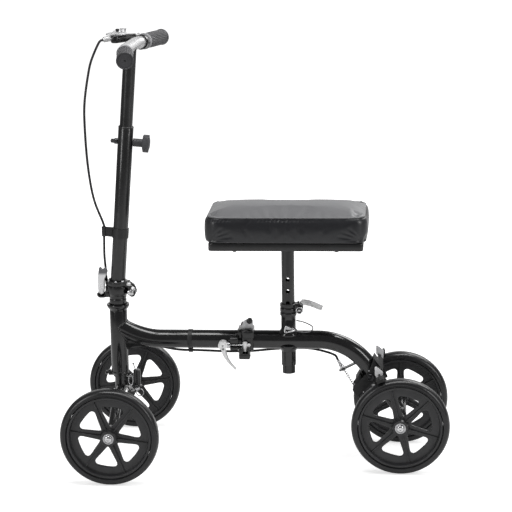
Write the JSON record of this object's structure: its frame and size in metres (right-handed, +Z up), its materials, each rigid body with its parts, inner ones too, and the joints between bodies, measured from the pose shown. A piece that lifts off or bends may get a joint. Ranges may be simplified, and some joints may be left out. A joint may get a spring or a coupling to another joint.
{
  "type": "folding knee walker",
  "caption": "Wheeled knee walker with a padded knee rest on a height-set post, a hinged beam, a folding steering column and a hand brake on the rear wheels.",
  "frame": {"origin": "on the floor, half way between the two axles and on the middle plane", "axes": "+Z up; -X is the way the walker drives, +X its rear; +Y the rider's right side"},
  "size_m": [0.782, 0.405, 0.8872],
  "materials": {
    "frame_gloss": "gloss black powder coat",
    "column_satin": "satin black powder coat",
    "black_hardware": "black coated steel hardware",
    "wheel_plastic": "moulded dark grey plastic",
    "tyre": "solid dark grey tyre with a dull sheen",
    "grip_rubber": "ribbed dark grey rubber",
    "soft_black": "black plastic",
    "shoe_rubber": "black brake rubber",
    "chrome": "bright chrome plate",
    "steel": "zinc-plated steel",
    "silver": "satin silver",
    "vinyl": "black upholstery vinyl",
    "cable": "black cable housing"
  },
  "bodies": {
    "rear_frame": {"rear_frame": "frame_gloss", "rear_hinge_block": "black_hardware", "hinge_pin": "steel", "hinge_barrel_nut": "chrome", "seat_clamp_collar": "column_satin", "seat_clamp_skewer": "chrome", "brake_pivot_bolt": "steel", "cable_adjuster_rear": "steel", "axle_bolt_rear_left": "chrome", "axle_bolt_rear_right": "chrome", "brake_spring": "steel", "brake_inner_wire": "steel", "cable_rear": "cable"},
    "rear_wheel_left": {"tyre_rear_left": "tyre", "rim_rear_left": "wheel_plastic", "bearings_rear_left": "steel"},
    "rear_wheel_right": {"tyre_rear_right": "tyre", "rim_rear_right": "wheel_plastic", "bearings_rear_right": "steel"},
    "brake_yoke": {"brake_yoke": "black_hardware", "brake_shoe_left": "shoe_rubber", "brake_shoe_right": "shoe_rubber"},
    "hinge_catch": {"hinge_catch": "silver"},
    "seat": {"seat_post": "column_satin", "seat_tray": "column_satin", "seat_cushion": "vinyl"},
    "lock_pin": {"lock_pin": "chrome"},
    "seat_clamp_lever": {"seat_clamp_lever": "chrome"},
    "front_frame": {"front_frame": "frame_gloss", "front_hinge_block": "black_hardware", "hinge_clamp_rod": "chrome", "headset_upper": "black_hardware", "headset_lower": "black_hardware", "cable_front": "cable"},
    "hinge_clamp_lever": {"hinge_clamp_lever": "chrome"},
    "fork": {"steering_fork": "frame_gloss", "column_base": "black_hardware", "column_fold_pin": "chrome", "axle_bolt_front_left": "chrome", "axle_bolt_front_right": "chrome"},
    "front_wheel_left": {"tyre_front_left": "tyre", "rim_front_left": "wheel_plastic", "bearings_front_left": "steel"},
    "front_wheel_right": {"tyre_front_right": "tyre", "rim_front_right": "wheel_plastic", "bearings_front_right": "steel"},
    "steering_lock": {"steering_lock_plunger": "steel"},
    "column_latch": {"column_latch_lever": "silver"},
    "column_lower": {"column_lower": "column_satin", "cable_clip": "soft_black", "cable_middle": "cable"},
    "column_knob": {"column_knob": "grip_rubber"},
    "column_upper": {"column_upper": "column_satin", "handlebar": "silver", "grip_left": "grip_rubber", "grip_right": "grip_rubber", "brake_lever_perch": "soft_black", "cable_upper": "cable"},
    "brake_lever": {"brake_lever": "silver"},
    "parking_button": {"parking_button": "soft_black"}
  },
  "joints": [
    {"name": "frame_fold", "type": "hinge", "parent": "rear_frame", "child": "front_frame", "pos_m": [-0.036, 0.034, 0.2533], "axis": [0, 0, 1], "range_deg": [-95, 0], "deforming": ["cable_rear"]},
    {"name": "seat_height", "type": "slide", "parent": "rear_frame", "child": "seat", "axis": [0, 0, 1], "range_m": [-0.0992, 0]},
    {"name": "seat_clamp", "type": "hinge", "parent": "rear_frame", "child": "seat_clamp_lever", "pos_m": [0.0835, 0.022, 0.321], "axis": [0, 0, 1], "range_deg": [0, 150]},
    {"name": "lock_pin_pull", "type": "slide", "parent": "rear_frame", "child": "lock_pin", "axis": [0, -1, 0], "range_m": [0, 0.012]},
    {"name": "catch_lift", "type": "hinge", "parent": "rear_frame", "child": "hinge_catch", "pos_m": [-0.0199, -0.0062, 0.2988], "axis": [0, 1, 0], "range_deg": [0, 35]},
    {"name": "brake_turn", "type": "hinge", "parent": "rear_frame", "child": "brake_yoke", "pos_m": [0.2288, 0, 0.1797], "axis": [0, 1, 0], "range_deg": [0, 6], "stiffness_Nm_per_rad": 6, "springref_deg": -8.59, "deforming": ["brake_spring", "brake_inner_wire"]},
    {"name": "rear_wheel_left_spin", "type": "hinge", "parent": "rear_frame", "child": "rear_wheel_left", "pos_m": [0.291, -0.097, 0.1], "axis": [0, 1, 0], "continuous": true},
    {"name": "rear_wheel_right_spin", "type": "hinge", "parent": "rear_frame", "child": "rear_wheel_right", "pos_m": [0.291, 0.097, 0.1], "axis": [0, 1, 0], "continuous": true},
    {"name": "frame_clamp", "type": "hinge", "parent": "front_frame", "child": "hinge_clamp_lever", "pos_m": [-0.0736, -0.03, 0.2488], "axis": [0, 1, 0], "range_deg": [0, 110]},
    {"name": "steering", "type": "hinge", "parent": "front_frame", "child": "fork", "pos_m": [-0.2935, 0, 0.2533], "axis": [0, 0, 1], "range_deg": [-45, 45], "deforming": ["cable_front"]},
    {"name": "front_wheel_left_spin", "type": "hinge", "parent": "fork", "child": "front_wheel_left", "pos_m": [-0.291, -0.1815, 0.1], "axis": [0, 1, 0], "continuous": true},
    {"name": "front_wheel_right_spin", "type": "hinge", "parent": "fork", "child": "front_wheel_right", "pos_m": [-0.291, 0.1815, 0.1], "axis": [0, 1, 0], "continuous": true},
    {"name": "steering_lock_pull", "type": "slide", "parent": "fork", "child": "steering_lock", "axis": [0, 0, 1], "range_m": [-0.006, 0], "stiffness_N_per_m": 400, "springref_m": 0.004},
    {"name": "column_latch_open", "type": "hinge", "parent": "fork", "child": "column_latch", "pos_m": [-0.3235, 0, 0.352], "axis": [0, 1, 0], "range_deg": [-55, 0]},
    {"name": "column_fold", "type": "hinge", "parent": "fork", "child": "column_lower", "pos_m": [-0.262, 0, 0.353], "axis": [0, 1, 0], "range_deg": [0, 36], "deforming": ["cable_middle"]},
    {"name": "height_knob", "type": "hinge", "parent": "column_lower", "child": "column_knob", "pos_m": [-0.23776, 0, 0.66538], "axis": [0.9965, 0, -0.0838], "range_deg": [0, 360]},
    {"name": "column_height", "type": "slide", "parent": "column_lower", "child": "column_upper", "axis": [0.0838, 0, 0.9965], "range_m": [-0.07, 0.15], "deforming": ["cable_upper"]},
    {"name": "brake_lever_pull", "type": "hinge", "parent": "column_upper", "child": "brake_lever", "pos_m": [-0.28977, 0.06239, 0.8755], "axis": [0, 0, 1], "range_deg": [-10.01, 0], "stiffness_Nm_per_rad": 0.5, "springref_deg": 11.46},
    {"name": "parking_button_press", "type": "slide", "parent": "brake_lever", "child": "parking_button", "axis": [0, 0, 1], "range_m": [-0.003, 0], "stiffness_N_per_m": 300, "springref_m": 0.002}
  ],
  "couplings": [
    {"joint": "brake_lever_pull", "follows": "brake_turn", "ratio": -1.6667}
  ]
}
